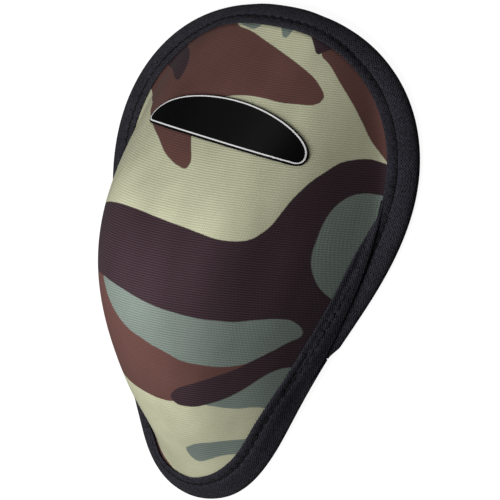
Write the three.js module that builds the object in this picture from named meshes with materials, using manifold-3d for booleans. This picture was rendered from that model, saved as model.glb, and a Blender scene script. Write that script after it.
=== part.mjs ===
// A soft moulded athletic cup: a hollow padded wall, a tape bound round its rim and a plain badge.
// Millimetres. The cup lies on its rim with its front upwards (+Z), X runs across it, and +Y points
// to the wide waist end. The origin is at the middle of the footprint, on the surface it lies on.
import * as THREE from 'three';
import { mergeVertices } from 'three/addons/utils/BufferGeometryUtils.js';
import Module from 'manifold-3d';

const LENGTH = 168; // rim, from the narrow lower end to the waist end

// How the cup changes along its length. Each row is a smooth blend of its columns, which are spaced
// evenly from the lower end (first) to the waist end (last).
const ALONG = {
  width: [95, 61, 77, 140, 125, 162], // full width of the ellipse that the rim follows here
  ridge: [0, 21, 51, 69.5, 90, 48, 18, 22, 0], // height of the middle line over the rim
  lift: [0.75, 0.6, 4.8, -0.4, 4.3], // height of the rim line over the table
  share: [1, 0.955, 0.8, 0.8], // how much of the half width the bulge takes
  fullness: [1.75, 2.55, 3.1, 3.9], // power of the bulge's cross section, higher is boxier
  flange: [14.5, 16.5, 23.5], // slope of the flange outside the bulge, degrees
};
const VALLEY = 0.1; // softness of the fold between flange and bulge, as a share of the height
const APEX_Y = -18; // centre of the mesh, near the top of the bulge

const WALL = 5; // padded wall over the bulge
const WALL_EDGE = 2.6; // the same wall pressed flat under the tape
const PRESSED_RUN = 16; // run over which the wall swells from the one to the other
const GAP = 0.3; // between neighbouring pieces
const TAPE = 0.9; // thickness of the binding tape
const TAPE_PRESSED = 0.45; // tape under the cup's weight, where it lies on the table

// Distances from the outside of the rim, measured inwards along the cup's face.
const EDGE = 2.5; // cut edge of the wall
const LEG_FRONT = [10.5, 8, 5.5, EDGE]; // tape on the front, from its free edge outwards
const LEG_BACK = [EDGE, 5.5, 8]; // tape on the back, from the fold inwards
const BANDS = [13, 10.5, 8, 5.5, EDGE]; // rows of the wall's mesh along the rim
const FOLD_TURNS = [0.25, 0.5, 0.75]; // steps of the tape's half turn round the edge

const RINGS = 12; // mesh rings from the apex to the first band
const AROUND = 8 * RINGS; // mesh columns round the rim

// The lap of the tape's two ends, in mesh columns clockwise from the waist end.
const LAP = { tip: 19, covered: 24, cornered: 27.5, underEnd: 29, overStart: 29.15, joined: 31, settled: 37 };
const LAP_INNER = 3.6; // how far the upper end strays inwards over the face
const LAP_OUTER = 3.2; // distance of its outer edge from the outside of the rim
const SNUG = 0.45; // reach of the fold at both ends, as a share of its reach elsewhere

// The badge is a half oval, straight below and arched above, set a little aslant.
const BADGE = { x: 2, y: 36.1, turn: -5.2, halfLength: 30, above: 13.5, below: 1.8, thick: 0.7 };
const BADGE_MIDDLE = 5; // height of the middle of its mesh over its widest line
const BADGE_RINGS = 5;

const { clamp, smoothstep, degToRad, lerp } = THREE.MathUtils;
const angleOf = (column) => (column * 2 * Math.PI) / AROUND;

function blend(row, s) {
  let values = row;
  while (values.length > 1) values = values.slice(1).map((b, i) => lerp(values[i], b, s));
  return values[0];
}

function smoothMax(a, b, softness) {
  return (a + b + Math.hypot(a - b, softness)) / 2;
}

// Height of the cup's outer face over a place in plan.
function faceHeight(x, y) {
  const s = clamp(y / LENGTH + 0.5, 1e-6, 1 - 1e-6);
  const half = Math.sqrt(s * (1 - s)) * blend(ALONG.width, s);
  const across = Math.abs(x) / half;
  const ridge = blend(ALONG.ridge, s);
  const bulge = 1 - (across / blend(ALONG.share, s)) ** blend(ALONG.fullness, s);
  const steep = (Math.tan(degToRad(blend(ALONG.flange, s))) * half) / ridge;
  const flange = (steep / (1 + (steep / 2) ** 4) ** 0.25) * (1 - across ** 2) * 0.5;
  return blend(ALONG.lift, s) + ridge * smoothMax(bulge, flange, VALLEY);
}

function faceNormal(x, y) {
  const e = 0.2;
  const dx = (faceHeight(x + e, y) - faceHeight(x - e, y)) / (2 * e);
  const dy = (faceHeight(x, y + e) - faceHeight(x, y - e)) / (2 * e);
  return new THREE.Vector3(-dx, -dy, 1).normalize();
}

// The rim in plan, clockwise from the waist end.
function rimPoint(t) {
  const s = (1 + Math.cos(t)) / 2;
  return new THREE.Vector2(0.5 * Math.sin(t) * blend(ALONG.width, s), LENGTH * (s - 0.5));
}

// The place that lies a distance inwards of the rim, along the face and square to the rim.
function fromRim(t, distance) {
  const step = 0.1;
  const rim = rimPoint(t);
  const along = rimPoint(t + 1e-3).sub(rimPoint(t - 1e-3)).normalize();
  const inwards = new THREE.Vector2(along.y, -along.x);
  const at = (e) => inwards.clone().multiplyScalar(e).add(rim);
  let e = 0;
  let run = 0;
  let z = faceHeight(rim.x, rim.y);
  while (run < distance) {
    const ahead = at(e + step);
    const next = faceHeight(ahead.x, ahead.y);
    const length = Math.hypot(step, next - z);
    const part = Math.min(1, (distance - run) / length);
    e += step * part;
    run += length * part + 1e-9;
    z = lerp(z, next, part);
  }
  const plan = at(e);
  const normal = faceNormal(plan.x, plan.y);
  const side = new THREE.Vector3(along.x, along.y, 0);
  const out = new THREE.Vector3().crossVectors(normal, side).normalize();
  if (out.x * inwards.x + out.y * inwards.y > 0) out.negate();
  return { plan, point: new THREE.Vector3(plan.x, plan.y, faceHeight(plan.x, plan.y)), normal, out };
}

const moved = (point, direction, distance) => point.clone().addScaledVector(direction, distance);
const noLower = (point, floor) => point.setZ(Math.max(point.z, floor));

function solidGeometry(points, triangles) {
  const geometry = new THREE.BufferGeometry();
  geometry.setAttribute(
    'position',
    new THREE.Float32BufferAttribute(points.flatMap((p) => p.toArray()), 3),
  );
  geometry.setIndex(triangles.flat());
  return geometry;
}

// A round sheet of quads with no pole: squares wrapped into rings, ring k holding 8k places.
function roundSheet(rings) {
  const places = [];
  const cells = [];
  const wide = 2 * rings + 1;
  const index = (i, j) => (j + rings) * wide + i + rings;
  for (let j = -rings; j <= rings; j++)
    for (let i = -rings; i <= rings; i++) {
      const k = Math.max(Math.abs(i), Math.abs(j));
      let turn = i;
      if (i === k && j < k) turn = 2 * k - j;
      else if (j === -k && j < 0) turn = 4 * k - i;
      else if (i === -k && i < 0 && j < k) turn = 6 * k + j;
      places.push({ share: k / rings, t: k ? (turn * 2 * Math.PI) / (8 * k) : 0 });
    }
  for (let j = -rings; j < rings; j++)
    for (let i = -rings; i < rings; i++) {
      const [a, b, c, d] = [index(i, j), index(i + 1, j), index(i + 1, j + 1), index(i, j + 1)];
      if ((i + 0.5) * (j + 0.5) > 0) cells.push([a, b, c], [a, c, d]);
      else cells.push([a, b, d], [b, c, d]);
    }
  const edge = [];
  for (let n = 0; n < 8 * rings; n++) {
    const side = Math.floor((n + rings) / (2 * rings)) % 4;
    const u = ((n + rings) % (2 * rings)) - rings;
    edge.push([index(u, rings), index(rings, -u), index(-u, -rings), index(-rings, u)][side]);
  }
  return { places, cells, edge };
}

// Closes a front sheet and its back copy into one solid along their common edge.
function thickSheet(front, back, cells, edge) {
  const n = front.length;
  const triangles = [...cells, ...cells.map(([a, b, c]) => [a + n, c + n, b + n])];
  edge.forEach((a, i) => {
    const b = edge[(i + 1) % edge.length];
    triangles.push([a, b, b + n], [a, b + n, a + n]);
  });
  return solidGeometry([...front, ...back], triangles);
}

function cupWall() {
  const { places, cells, edge } = roundSheet(RINGS);
  const front = [];
  const back = [];
  const add = (plan, thickness) => {
    const point = new THREE.Vector3(plan.x, plan.y, faceHeight(plan.x, plan.y));
    const normal = faceNormal(plan.x, plan.y);
    const floor = TAPE_PRESSED + GAP;
    front.push(point);
    back.push(noLower(moved(point, normal, -thickness), floor));
  };
  const apex = new THREE.Vector2(0, APEX_Y);
  for (const { share, t } of places) {
    const outer = fromRim(t, BANDS[0]).plan;
    const run = outer.distanceTo(apex) * (1 - share);
    add(apex.clone().lerp(outer, share), lerp(WALL_EDGE, WALL, smoothstep(run, 0, PRESSED_RUN)));
  }
  let last = edge;
  for (const distance of BANDS.slice(1)) {
    const next = last.map((_, i) => front.length + i);
    for (let i = 0; i < AROUND; i++) add(fromRim(angleOf(i), distance).plan, WALL_EDGE);
    last.forEach((a, i) => {
      const j = (i + 1) % AROUND;
      cells.push([a, next[j], next[i]], [a, last[j], next[j]]);
    });
    last = next;
  }
  return thickSheet(front, back, cells, last);
}

// A strip of tape swept through cross sections, each an outer and an inner row of points.
function tapeSolid(sections) {
  const points = [];
  const triangles = [];
  const count = sections[0].outer.length;
  const round = 2 * count;
  for (const { outer, inner } of sections) points.push(...outer, ...inner.toReversed());
  for (let i = 0; i + 1 < sections.length; i++)
    for (let k = 0; k < round; k++) {
      const a = i * round + k;
      const b = i * round + ((k + 1) % round);
      triangles.push([a, b + round, b], [a, a + round, b + round]);
    }
  const end = (sections.length - 1) * round;
  for (let k = 0; k + 1 < count; k++) {
    const [a, b, c, d] = [k, k + 1, round - 2 - k, round - 1 - k];
    triangles.push([a, b, c], [a, c, d], [end + a, end + c, end + b], [end + a, end + d, end + c]);
  }
  return solidGeometry(points, triangles);
}

// The tape folded round the rim: front leg, half turn, back leg.
function foldedSection(column) {
  const t = angleOf(column);
  const stray = LAP_INNER * (1 - smoothstep(column, LAP.overStart, LAP.settled));
  const tight = 1 - smoothstep(column, LAP.overStart, LAP.settled);
  const cornered = smoothstep(column - AROUND, LAP.cornered, LAP.underEnd);
  const reach = lerp(1, SNUG, Math.max(tight, cornered));
  const rows = { outer: [], inner: [] };
  const add = (point, direction, near) => {
    rows.outer.push(noLower(moved(point, direction, near + TAPE), 0));
    rows.inner.push(noLower(moved(point, direction, near), TAPE_PRESSED));
  };
  LEG_FRONT.forEach((distance, i) => {
    const place = fromRim(t, distance + (i ? 0 : stray));
    add(place.point, place.normal, GAP);
  });
  const edge = fromRim(t, EDGE);
  const centre = moved(edge.point, edge.normal, -WALL_EDGE / 2);
  for (const turn of FOLD_TURNS) {
    const direction = edge.normal.clone().multiplyScalar(Math.cos(turn * Math.PI));
    direction.addScaledVector(edge.out, reach * Math.sin(turn * Math.PI));
    add(centre, direction, WALL_EDGE / 2 + GAP);
  }
  for (const distance of LEG_BACK) {
    const place = fromRim(t, distance);
    add(moved(place.point, place.normal, -WALL_EDGE), place.normal.clone().negate(), GAP);
  }
  return rows;
}

// The end that comes from below, cut to a long point and laid over the other end's front leg.
function lapSection(column) {
  const t = angleOf(column);
  const entry = smoothstep(column, LAP.tip, LAP.covered);
  const inner = LEG_FRONT[0] + 0.4 + (LAP_INNER - 0.4) * entry;
  const outer = lerp(LEG_FRONT[0] - 0.4, LAP_OUTER, smoothstep(column, LAP.tip, LAP.joined));
  const down = smoothstep(column, LAP.underEnd, LAP.joined);
  const rows = { outer: [], inner: [] };
  const steps = 6;
  for (let i = 0; i <= steps; i++) {
    const distance = lerp(inner, outer, i / steps);
    const place = fromRim(t, distance);
    const over = 1 - smoothstep(distance, LEG_FRONT[0] + 0.4, LEG_FRONT[0] + 2);
    const near = lerp(GAP + (TAPE + GAP) * over, GAP + TAPE / 3, down);
    rows.outer.push(moved(place.point, place.normal, near + TAPE));
    rows.inner.push(moved(place.point, place.normal, near));
  }
  return rows;
}

function columnsBetween(first, last) {
  const columns = [first];
  for (let c = Math.floor(first) + 1; c < last; c++) columns.push(c);
  return [...columns, last];
}

const wasm = await Module();
wasm.setup();

function solidOf(geometry) {
  const merged = mergeVertices(geometry, 1e-4);
  return new wasm.Manifold(
    new wasm.Mesh({
      numProp: 3,
      vertProperties: merged.attributes.position.array,
      triVerts: new Uint32Array(merged.index.array),
    }),
  );
}

function edgeBinding() {
  const round = columnsBetween(LAP.overStart, AROUND + LAP.underEnd).map(foldedSection);
  const lapped = columnsBetween(LAP.tip, LAP.joined).map(lapSection);
  const mesh = solidOf(tapeSolid(round)).add(solidOf(tapeSolid(lapped))).getMesh();
  const geometry = new THREE.BufferGeometry();
  geometry.setAttribute('position', new THREE.BufferAttribute(mesh.vertProperties, mesh.numProp));
  geometry.setIndex(new THREE.BufferAttribute(mesh.triVerts, 1));
  return geometry;
}

// A plain half oval that lies on the upper front and follows its curve.
function badgePatch() {
  const { places, cells, edge } = roundSheet(BADGE_RINGS);
  const turn = degToRad(BADGE.turn);
  const front = [];
  const back = [];
  for (const { share, t } of places) {
    const arched = Math.cos(t) > 0;
    const bent = (v) => (arched ? v : Math.sign(v) * Math.sqrt(Math.abs(v)));
    const u = BADGE.halfLength * share * bent(Math.sin(t));
    const outlined = (arched ? BADGE.above : BADGE.below) * bent(Math.cos(t));
    const v = lerp(BADGE_MIDDLE, outlined, share);
    const x = BADGE.x + u * Math.cos(turn) - v * Math.sin(turn);
    const y = BADGE.y + u * Math.sin(turn) + v * Math.cos(turn);
    const point = new THREE.Vector3(x, y, faceHeight(x, y));
    const normal = faceNormal(x, y);
    front.push(moved(point, normal, GAP + BADGE.thick));
    back.push(moved(point, normal, GAP));
  }
  return thickSheet(front, back, cells, edge);
}

function piece(name, geometry, color, roughness) {
  const material = new THREE.MeshStandardMaterial({ color, roughness, metalness: 0 });
  const mesh = new THREE.Mesh(geometry, material);
  mesh.name = name;
  return mesh;
}

const cup = new THREE.Group();
cup.add(piece('cup_wall', cupWall(), 0x8f8d70, 0.85));
cup.add(piece('edge_binding', edgeBinding(), 0x202024, 0.9));
cup.add(piece('badge', badgePatch(), 0x0d0d0f, 0.6));

const box = new THREE.Box3().setFromObject(cup);
const middle = box.getCenter(new THREE.Vector3());
for (const mesh of cup.children) mesh.geometry.translate(-middle.x, -middle.y, -box.min.z);

export default cup;
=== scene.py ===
# %% [markdown]
# # A soft athletic cup
# The cup is a hollow padded shell that lies on its bound rim with its front upwards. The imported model
# gives the solids. This lesson dresses them: a printed knit over the padding, a woven tape folded round
# the rim, the thread that holds the tape, and a plain badge of printed film.
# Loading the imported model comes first, because every piece below takes its place from it.

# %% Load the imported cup
import math

import bpy
import numpy as np
from mathutils import Matrix, Vector


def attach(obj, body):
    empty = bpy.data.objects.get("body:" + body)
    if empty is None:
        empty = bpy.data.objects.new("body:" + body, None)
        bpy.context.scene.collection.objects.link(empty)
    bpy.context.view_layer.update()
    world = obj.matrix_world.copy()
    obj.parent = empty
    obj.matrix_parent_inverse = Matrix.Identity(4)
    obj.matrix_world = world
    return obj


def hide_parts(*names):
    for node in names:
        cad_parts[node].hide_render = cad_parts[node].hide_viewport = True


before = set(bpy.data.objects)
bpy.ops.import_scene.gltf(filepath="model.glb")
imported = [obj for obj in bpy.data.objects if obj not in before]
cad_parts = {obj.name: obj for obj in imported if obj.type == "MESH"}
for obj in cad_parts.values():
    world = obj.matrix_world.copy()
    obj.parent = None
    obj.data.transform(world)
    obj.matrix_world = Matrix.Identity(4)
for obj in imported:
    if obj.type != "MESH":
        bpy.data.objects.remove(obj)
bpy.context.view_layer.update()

MM = 0.001

# %% [markdown]
# Operators act on whatever is selected, so small helpers keep that in hand. One picks a single piece, one
# adds a modifier and applies it, two read and set all the points of a piece at once, and one stores a value
# for every point, which a finish can read later.

# %% Helpers for shaping a piece
def only(piece):
    bpy.ops.object.select_all(action="DESELECT")
    piece.select_set(True)
    bpy.context.view_layer.objects.active = piece


def apply_modifier(piece, kind, **settings):
    only(piece)
    modifier = piece.modifiers.new(kind.title(), kind)
    for name, value in settings.items():
        setattr(modifier, name, value)
    bpy.ops.object.modifier_apply(modifier=modifier.name)


def points_of(piece):
    places = np.empty(len(piece.data.vertices) * 3)
    piece.data.vertices.foreach_get("co", places)
    return places.reshape(-1, 3)


def move_points(piece, places):
    piece.data.vertices.foreach_set("co", np.asarray(places, float).ravel())
    piece.data.update()


def keep_layer(piece, name, values):
    layer = piece.data.attributes.new(name, "FLOAT", "POINT")
    layer.data.foreach_set("value", values.astype(np.float32))


def triangles_of(piece):
    return sum(len(face.vertices) - 2 for face in piece.data.polygons)


# %% [markdown]
# The camera stands above the cup, turned 30 degrees to its right side and rolled 11 degrees, about 0.7 m
# away. A long lens keeps the cup's proportions as a product picture shows them. The three columns of the
# camera's turn are the picture's right, its up and the way back to the camera.

# %% Camera
LEAN, TIP, ROLL = (math.radians(v) for v in (29.56, 3.71, 11.45))
AWAY, SENSOR = 700, 36  # mm
PICTURE = 500  # pixels
PIXELS_PER_MM = 2.972
OFF_CENTRE = (4.24, 4.01)  # picture's middle against the cup's origin, pixels

back = Vector((math.sin(LEAN) * math.cos(TIP), math.sin(TIP), math.cos(LEAN) * math.cos(TIP)))
level = Vector((math.cos(LEAN), 0, -math.sin(LEAN)))
upright = back.cross(level)
right = math.cos(ROLL) * level + math.sin(ROLL) * upright
up = math.cos(ROLL) * upright - math.sin(ROLL) * level

bpy.ops.object.select_all(action="DESELECT")
bpy.ops.object.camera_add()
camera = bpy.context.object
camera.name = "camera"
camera.data.sensor_width = SENSOR
camera.data.lens = PIXELS_PER_MM * AWAY / PICTURE * SENSOR
aim = right * (OFF_CENTRE[0] / PIXELS_PER_MM * MM) + up * (OFF_CENTRE[1] / PIXELS_PER_MM * MM)
place = aim + back * (AWAY * MM)
camera.matrix_world = Matrix(
    [[right[i], up[i], back[i], place[i]] for i in range(3)] + [[0, 0, 0, 1]]
)
bpy.context.scene.camera = camera
print("camera, mm:", [round(v / MM) for v in place], "lens", round(camera.data.lens, 1))

# %% [markdown]
# Every finish is a tree of nodes that starts from a pattern and ends at the shader. The first helper fills a
# node's sockets, by a link or by a plain value, the second adds a node, and the third starts a finish.

# %% Helpers for finishes
def plug(tree, node, inputs):
    for socket, value in inputs.items():
        if isinstance(value, bpy.types.NodeSocket):
            tree.links.new(value, node.inputs[socket])
        else:
            node.inputs[socket].default_value = value


def add(tree, kind, inputs, **options):
    node = tree.nodes.new("ShaderNode" + kind)
    for name, value in options.items():
        setattr(node, name, value)
    plug(tree, node, inputs)
    return node


def new_finish(name):
    finish = bpy.data.materials.new(name)
    finish.use_nodes = True
    tree = finish.node_tree
    return finish, tree, tree.nodes["Principled BSDF"]


# %% [markdown]
# A few nodes come back in every finish: where a point lies on the piece, a noise, a row of bands, sums, a
# change of range, two kinds of mixed colour and the bump. Each has a short name here, so that a finish reads
# as a list.

# %% Patterns and sums
WAVE = 0.31416  # bands of scale 1 come back after this length, m


def object_place(tree):
    return add(tree, "TexCoord", {}).outputs["Object"]


def noise(tree, where, scale, detail=2):
    return add(tree, "TexNoise", {"Vector": where, "Scale": scale, "Detail": detail}).outputs["Fac"]


def bands(tree, where, pitch, way, inputs):
    wave = {"Vector": where, "Scale": WAVE / pitch, **inputs}
    return add(tree, "TexWave", wave, wave_type="BANDS", bands_direction=way).outputs["Fac"]


def calc(tree, how, *values):
    return add(tree, "Math", dict(enumerate(values)), operation=how).outputs["Value"]


def ranged(tree, value, to=(0, 1), since=(0, 1), how="LINEAR"):
    """Maps a value from the range it had to a new one."""
    limits = {"From Min": since[0], "From Max": since[1], "To Min": to[0], "To Max": to[1]}
    node = add(tree, "MapRange", {"Value": value, **limits}, interpolation_type=how)
    return node.outputs["Result"]


def mixed(tree, share, first, second):
    colours = {"Factor": share, "A": first, "B": second}
    return add(tree, "Mix", colours, data_type="RGBA").outputs["Result"]


def two_tones(tree, share, low, high):
    ramp = add(tree, "ValToRGB", {"Fac": share})
    ramp.color_ramp.elements[0].color = low
    ramp.color_ramp.elements[1].color = high
    return ramp.outputs["Color"]


def bump(tree, height, strength, distance):
    relief = {"Height": height, "Strength": strength, "Distance": distance}
    return add(tree, "Bump", relief).outputs["Normal"]


# %% [markdown]
# The cup lies on a plain white light table, as used for product pictures. The table glows by itself, so the
# shadow stays weak, and it is kept from lighting the cup from below.

# %% Table
TABLE_SIZE, TABLE_DROP = 4, 0.0002  # m, and the drop keeps it clear of the rim
TABLE_LOW, TABLE_HIGH = (0.117, 0.117, 0.117, 1), (0.127, 0.127, 0.127, 1)

bpy.ops.object.select_all(action="DESELECT")
bpy.ops.mesh.primitive_grid_add(
    x_subdivisions=8, y_subdivisions=8, size=TABLE_SIZE, location=(0, 0, -TABLE_DROP)
)
table = bpy.context.object
table.name = "table"
bpy.ops.object.transform_apply(location=True)
finish, tree, shader = new_finish("pale_table")
mottle = noise(tree, object_place(tree), 9, detail=3)
tone = two_tones(tree, mottle, TABLE_LOW, TABLE_HIGH)
plug(tree, shader, {
    "Base Color": tone,
    "Emission Color": tone,
    "Emission Strength": 7.7,
    "Roughness": 0.9,
})
table.data.materials.append(finish)
table.visible_diffuse = table.visible_glossy = False
print("table, m:", [round(v, 2) for v in table.dimensions])

# %% [markdown]
# One soft round light hangs low over the lower end, so the dome is brightest there and falls into shade
# towards the waist and the right side. A weak fill behind the waist end lifts the tape there, and the sky
# gives a little light from everywhere.

# %% Light
SKY, SKY_STRENGTH = (0.97, 0.98, 1, 1), 0.075


def soft_light(name, place, size, energy):
    """A round light at a place in mm that shines at the middle of the cup."""
    place = Vector(place) * MM
    bpy.ops.object.light_add(type="AREA", location=place)
    light = bpy.context.object
    light.name = name
    light.data.shape = "DISK"
    light.data.size = size
    light.data.energy = energy
    light.rotation_euler = (-place).to_track_quat("-Z", "Y").to_euler()
    light.visible_camera = False
    print(name, "at, mm:", [round(v / MM) for v in light.location])


soft_light("key_light", (-7, -74, 290), size=0.18, energy=0.95)
soft_light("fill_light", (-60, 330, 170), size=0.2, energy=0.19)
world = bpy.data.worlds.new("studio")
bpy.context.scene.world = world
world.use_nodes = True
sky = world.node_tree.nodes["Background"]
plug(world.node_tree, sky, {"Color": SKY, "Strength": SKY_STRENGTH})
bpy.context.scene.view_settings.view_transform = "Standard"

# %% [markdown]
# The tape, its thread and the badge all follow the cup's face, so the rule of that face is repeated here,
# with the same sizes as the solids. Each row of the table is a smooth blend along the cup, from the narrow
# lower end to the waist end. Lengths are in millimetres, and the slope of the flange is in degrees.

# %% Sizes of the face
LENGTH = 168
OFFSET = 0.003  # the solids are centred on their footprint
COLUMNS = 96  # steps of the solids round the rim
VALLEY = 0.1  # how softly the dome runs into the flange
ALONG = {
    "width": [95, 61, 77, 140, 125, 162],
    "ridge": [0, 21, 51, 69.5, 90, 48, 18, 22, 0],
    "lift": [0.75, 0.6, 4.8, -0.4, 4.3],
    "share": [1, 0.955, 0.8, 0.8],
    "fullness": [1.75, 2.55, 3.1, 3.9],
    "flange": [14.5, 16.5, 23.5],
}


def blend(row, s):
    values = [np.full_like(s, v, dtype=float) for v in ALONG[row]]
    while len(values) > 1:
        values = [a + (b - a) * s for a, b in zip(values, values[1:])]
    return values[0]


print("ridge half way along, mm:", round(float(blend("ridge", np.array(0.5))), 1))

# %% [markdown]
# The foam is soft. On the real cup the left flank near the lower end is pressed in, so that the tape lies
# flatter there, and a soft crease runs down to the right of the dome. Neither is in the solids. Each dent is
# a rounded trough with a place, a direction, a length, a spread to either side of it and a depth.

# %% Dents in the foam
DENTS = {
    "lower_left_flank": {
        "at": (-18.19, -63.79), "way": (-0.4687, 0.8834), "long": 10, "spread": (4.5, 7), "deep": 4.8,
    },
    "crease_right_of_dome": {
        "at": (32, 5), "way": (0.267, 0.964), "long": 17, "spread": (4.5, 4.5), "deep": 1.9,
    },
}


def dent(x, y):
    """How far the face is pressed in, all dents together."""
    pressed = 0
    for place in DENTS.values():
        along, dx, dy = place["way"], x - place["at"][0], y - place["at"][1]
        u, v = dx * along[0] + dy * along[1], dx * along[1] - dy * along[0]
        spread = np.where(v < 0, *place["spread"])
        pressed = pressed + place["deep"] * np.exp(-((u / place["long"]) ** 2) - (v / spread) ** 2)
    return pressed


print("dents, mm:", {name: place["deep"] for name, place in DENTS.items()})

# %% [markdown]
# A section across the cup is a full dome that runs out into a flatter flange. The face is the higher of the
# two, with a soft change from one to the other. The solid's own points near the middle of the dome show
# whether the rule here is the same as theirs.

# %% Height and slope of the face
END = 1e-6  # keeps a place off the very ends, where the cup has no width
SLOPE_STEP = 0.2
TESTED = {"y": -18, "radius": 20, "inner_side_below": 1}


def face_height(x, y):
    s = np.clip((y - OFFSET) / LENGTH + 0.5, END, 1 - END)
    half = np.sqrt(s * (1 - s)) * blend("width", s)
    across = np.abs(x) / half
    ridge = blend("ridge", s)
    bulge = 1 - (across / blend("share", s)) ** blend("fullness", s)
    steep = np.tan(np.radians(blend("flange", s))) * half / ridge
    flange = steep / (1 + (steep / 2) ** 4) ** 0.25 * (1 - across**2) * 0.5
    higher = (bulge + flange + np.hypot(bulge - flange, VALLEY)) / 2
    return blend("lift", s) + ridge * higher - dent(x, y)


def face_normal(x, y):
    e = SLOPE_STEP
    dx = (face_height(x + e, y) - face_height(x - e, y)) / (2 * e)
    dy = (face_height(x, y + e) - face_height(x, y - e)) / (2 * e)
    normal = np.stack([-dx, -dy, np.ones_like(dx)], -1)
    return normal / np.linalg.norm(normal, axis=-1, keepdims=True)


solid = points_of(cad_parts["cup_wall"]) / MM
front = solid[np.hypot(solid[:, 0], solid[:, 1] - TESTED["y"]) < TESTED["radius"]]
above = front[:, 2] > face_height(front[:, 0], front[:, 1]) - TESTED["inner_side_below"]
front = front[above]
apart = np.abs(face_height(front[:, 0], front[:, 1]) - front[:, 2]).max()
print("rule and solid apart by", round(float(apart), 4), "mm")

# %% [markdown]
# The tape is laid by its distance from the rim, measured along the face as with a tape measure. The second
# helper steps inwards from the rim in plan, adds up the way along the face, and gives the point, the normal
# and the way outwards at each distance.

# %% Distances in from the rim
RIM_REACH, RIM_STEP = 20, 0.1
NUDGE = 0.01  # columns, to find the rim's direction


def rim_point(column):
    t = column * 2 * np.pi / COLUMNS
    s = (1 + np.cos(t)) / 2
    return np.stack([0.5 * np.sin(t) * blend("width", s), LENGTH * (s - 0.5) + OFFSET], -1)


def from_rim(column, distances):
    """Points, normals and outward ways, each distance inwards of the rim along the face."""
    rim = rim_point(column)
    along = rim_point(column + NUDGE) - rim_point(column - NUDGE)
    along /= np.linalg.norm(along, axis=-1, keepdims=True)
    inwards = np.stack([along[:, 1], -along[:, 0]], -1)
    steps = np.arange(0, RIM_REACH, RIM_STEP)
    plan = rim[:, None] + inwards[:, None] * steps[None, :, None]
    rise = np.diff(face_height(plan[..., 0], plan[..., 1]), axis=1)
    run = np.cumsum(np.hypot(RIM_STEP, rise), axis=1)
    run = np.concatenate([np.zeros((len(rim), 1)), run], axis=1)
    distances = np.broadcast_to(distances, (len(rim), np.shape(distances)[-1]))
    reach = np.stack([np.interp(d, r, steps) for d, r in zip(distances, run)])
    plan = rim[:, None] + inwards[:, None] * reach[..., None]
    x, y = plan[..., 0], plan[..., 1]
    point = np.stack([x, y, face_height(x, y)], -1)
    normal = face_normal(x, y)
    side = np.concatenate([along, np.zeros((len(rim), 1))], -1)[:, None]
    out = np.cross(normal, np.broadcast_to(side, normal.shape))
    out /= np.linalg.norm(out, axis=-1, keepdims=True)
    turned = np.einsum("ijk,ik->ij", out[..., :2], inwards) > 0
    out[turned] *= -1
    return point, normal, out


print("widest, mm:", round(2 * float(rim_point(np.arange(COLUMNS))[:, 0].max()), 1))

# %% [markdown]
# ## The padded wall
# The real wall is foam pressed to shape between a printed knit and a black lining. It could be drawn as a
# new surface, but the solid already has the right form, so its mesh is copied, its loose triangles are
# merged and paired into quads, and one level of subdivision smooths it. The side that faces the hollow
# gets the second material slot, for the lining.

# %% Copy the wall
MERGED_WITHIN = 2e-6  # m
PAIR_BEND, PAIR_SKEW = math.radians(50), math.radians(70)
FACES_HOLLOW = -0.05  # a face whose normal points lower than this is lined

wall = bpy.data.objects.new("padded_wall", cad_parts["cup_wall"].data.copy())
bpy.context.collection.objects.link(wall)
wall.data.materials.clear()
only(wall)
bpy.ops.object.mode_set(mode="EDIT")
bpy.ops.mesh.select_all(action="SELECT")
bpy.ops.mesh.remove_doubles(threshold=MERGED_WITHIN)
bpy.ops.mesh.tris_convert_to_quads(face_threshold=PAIR_BEND, shape_threshold=PAIR_SKEW)
bpy.ops.object.mode_set(mode="OBJECT")
bpy.ops.mesh.customdata_custom_splitnormals_clear()
quads = sum(len(face.vertices) == 4 for face in wall.data.polygons)
print("wall faces:", len(wall.data.polygons), "of them quads:", quads)
for face in wall.data.polygons:
    face.material_index = int(face.normal.z < FACES_HOLLOW)
apply_modifier(wall, "SUBSURF", levels=1, render_levels=1)

# %% [markdown]
# The dents press both sides of the wall, the lining less than the knit. The points of the outside
# are then set on the rule of the face, so that no facet of the solid shows through the knit.

# %% Settle the outside on the rule
LINING_FOLLOWS = 0.72
OUTSIDE_WITHIN = 1.2  # mm, points further from the rule belong to the rim's edge


def lined_points(piece):
    return {v for face in piece.data.polygons if face.material_index for v in face.vertices}


def settle_front(piece):
    """Moves the points of the outside up or down on to the rule of the face."""
    places = points_of(piece) / MM
    lined = lined_points(piece)
    front = np.array([i for i in range(len(places)) if i not in lined])
    follows = np.full(len(places), LINING_FOLLOWS)
    follows[front] = 1
    places[:, 2] -= follows * dent(places[:, 0], places[:, 1])
    rule = face_height(places[front, 0], places[front, 1])
    off = rule - places[front, 2]
    near = np.abs(off) < OUTSIDE_WITHIN
    places[front[near], 2] = rule[near]
    move_points(piece, places * MM)
    return float(np.abs(off[near]).max())


print("front settled by up to", round(settle_front(wall), 2), "mm")

# %% [markdown]
# The knit is stretched over the foam, and it swells a little between the places that hold it down: the
# bound rim, the film of the badge and the lining. So each point of the wall gets a weight first, from 1
# where it is held to 0 where it is free.

# %% Places that hold the knit
BADGE = {
    "x": 2, "y": 37.3 + OFFSET, "turn": math.radians(-4.2), "half": 29.9, "above": 12.6, "below": 2.4,
}
BADGE_MIDDLE = 5  # mm above the line between the badge's ends
BADGE_HOLDS = {"past_ends": 3, "half_height": 10}
RIM_HOLDS, RIM_FADES = 15, 3  # mm


def rim_distance(places):
    """Plan distance from the rim line, mm."""
    line = rim_point(np.linspace(0, COLUMNS, 480, endpoint=False))
    return np.array([np.hypot(*(line - p).T).min() for p in places[:, :2]])


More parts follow.
